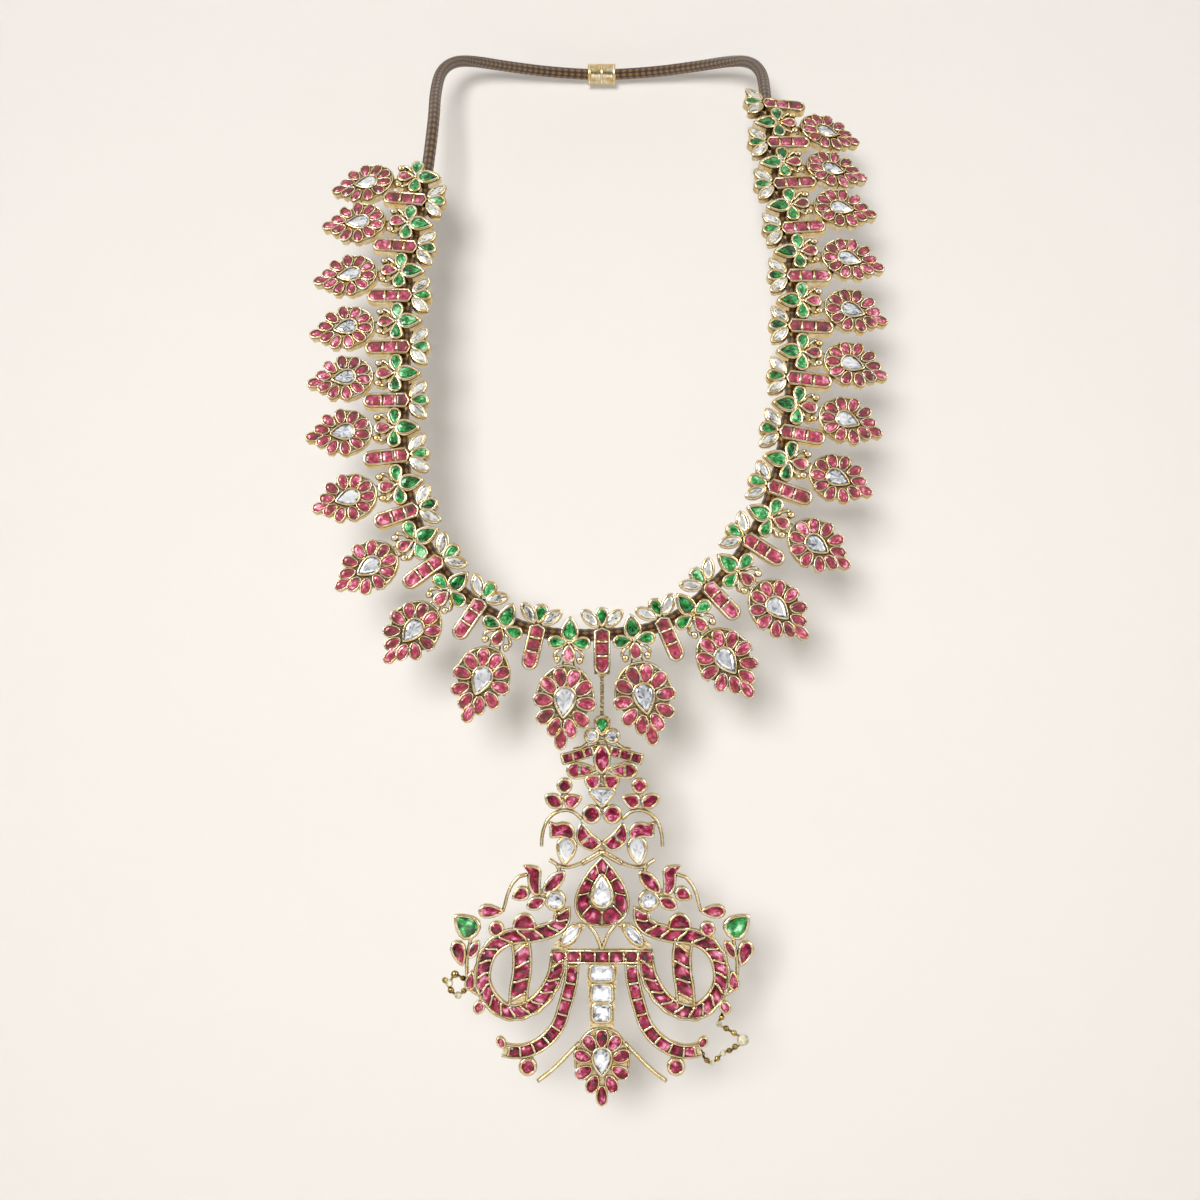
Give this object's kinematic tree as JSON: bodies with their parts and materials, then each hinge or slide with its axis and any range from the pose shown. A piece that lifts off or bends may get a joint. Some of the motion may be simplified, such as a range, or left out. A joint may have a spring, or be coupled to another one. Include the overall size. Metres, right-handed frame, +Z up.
{
  "type": "long necklace",
  "caption": "Long necklace in closed-set gold: mango drops with rubies and diamonds between bar and flower links on a corded loop, with a pierced swinging pendant of two birds",
  "frame": {"origin": "the seat at the nape: the inner side of the barrel clasp, where the necklace rests on the back of the neck", "axes": "+Z up, -Y the wearer's front, +X the wearer's left, which is the viewer's right in the picture; the chain hangs down to -Z over the chest"},
  "size_m": [0.179, 0.1592, 0.346],
  "materials": {
    "gold": "soft polished pale yellow gold",
    "cord": "brown and gold braided thread",
    "ruby": "polished, cut",
    "emerald": "polished, cut",
    "diamond": "polished, flat cut over foil"
  },
  "bodies": {
    "chain": {"stringing_cord": "cord", "barrel_clasp": "gold", "middle_bar": "gold", "bar_links_right": "gold", "bar_links_left": "gold", "flower_links_right": "gold", "flower_links_left": "gold", "bar_rubies_right": "ruby", "bar_rubies_left": "ruby", "flower_emeralds_right": "emerald", "flower_emeralds_left": "emerald", "jump_rings_right": "gold", "jump_rings_left": "gold", "drop_diamonds_right": "diamond", "drop_diamonds_left": "diamond", "mango_drop_right_1": "gold", "mango_drop_right_2": "gold", "mango_drop_right_3": "gold", "mango_drop_right_4": "gold", "mango_drop_right_5": "gold", "mango_drop_right_6": "gold", "mango_drop_right_7": "gold", "mango_drop_right_8": "gold", "mango_drop_right_9": "gold", "mango_drop_right_10": "gold", "mango_drop_right_11": "gold", "mango_drop_right_12": "gold", "mango_drop_left_1": "gold", "mango_drop_left_2": "gold", "mango_drop_left_3": "gold", "mango_drop_left_4": "gold", "mango_drop_left_5": "gold", "mango_drop_left_6": "gold", "mango_drop_left_7": "gold", "mango_drop_left_8": "gold", "mango_drop_left_9": "gold", "mango_drop_left_10": "gold", "mango_drop_left_11": "gold"},
    "pendant": {"pendant_frame": "gold", "pendant_diamonds": "diamond", "pendant_emeralds": "emerald", "pendant_rubies": "ruby", "pendant_ruby_rows": "ruby"}
  },
  "joints": [
    {"name": "pendant_swing", "type": "hinge", "parent": "chain", "child": "pendant", "pos_m": [0, -0.1465, -0.2114], "axis": [1, 0, 0], "range_deg": [-40, 40]}
  ]
}
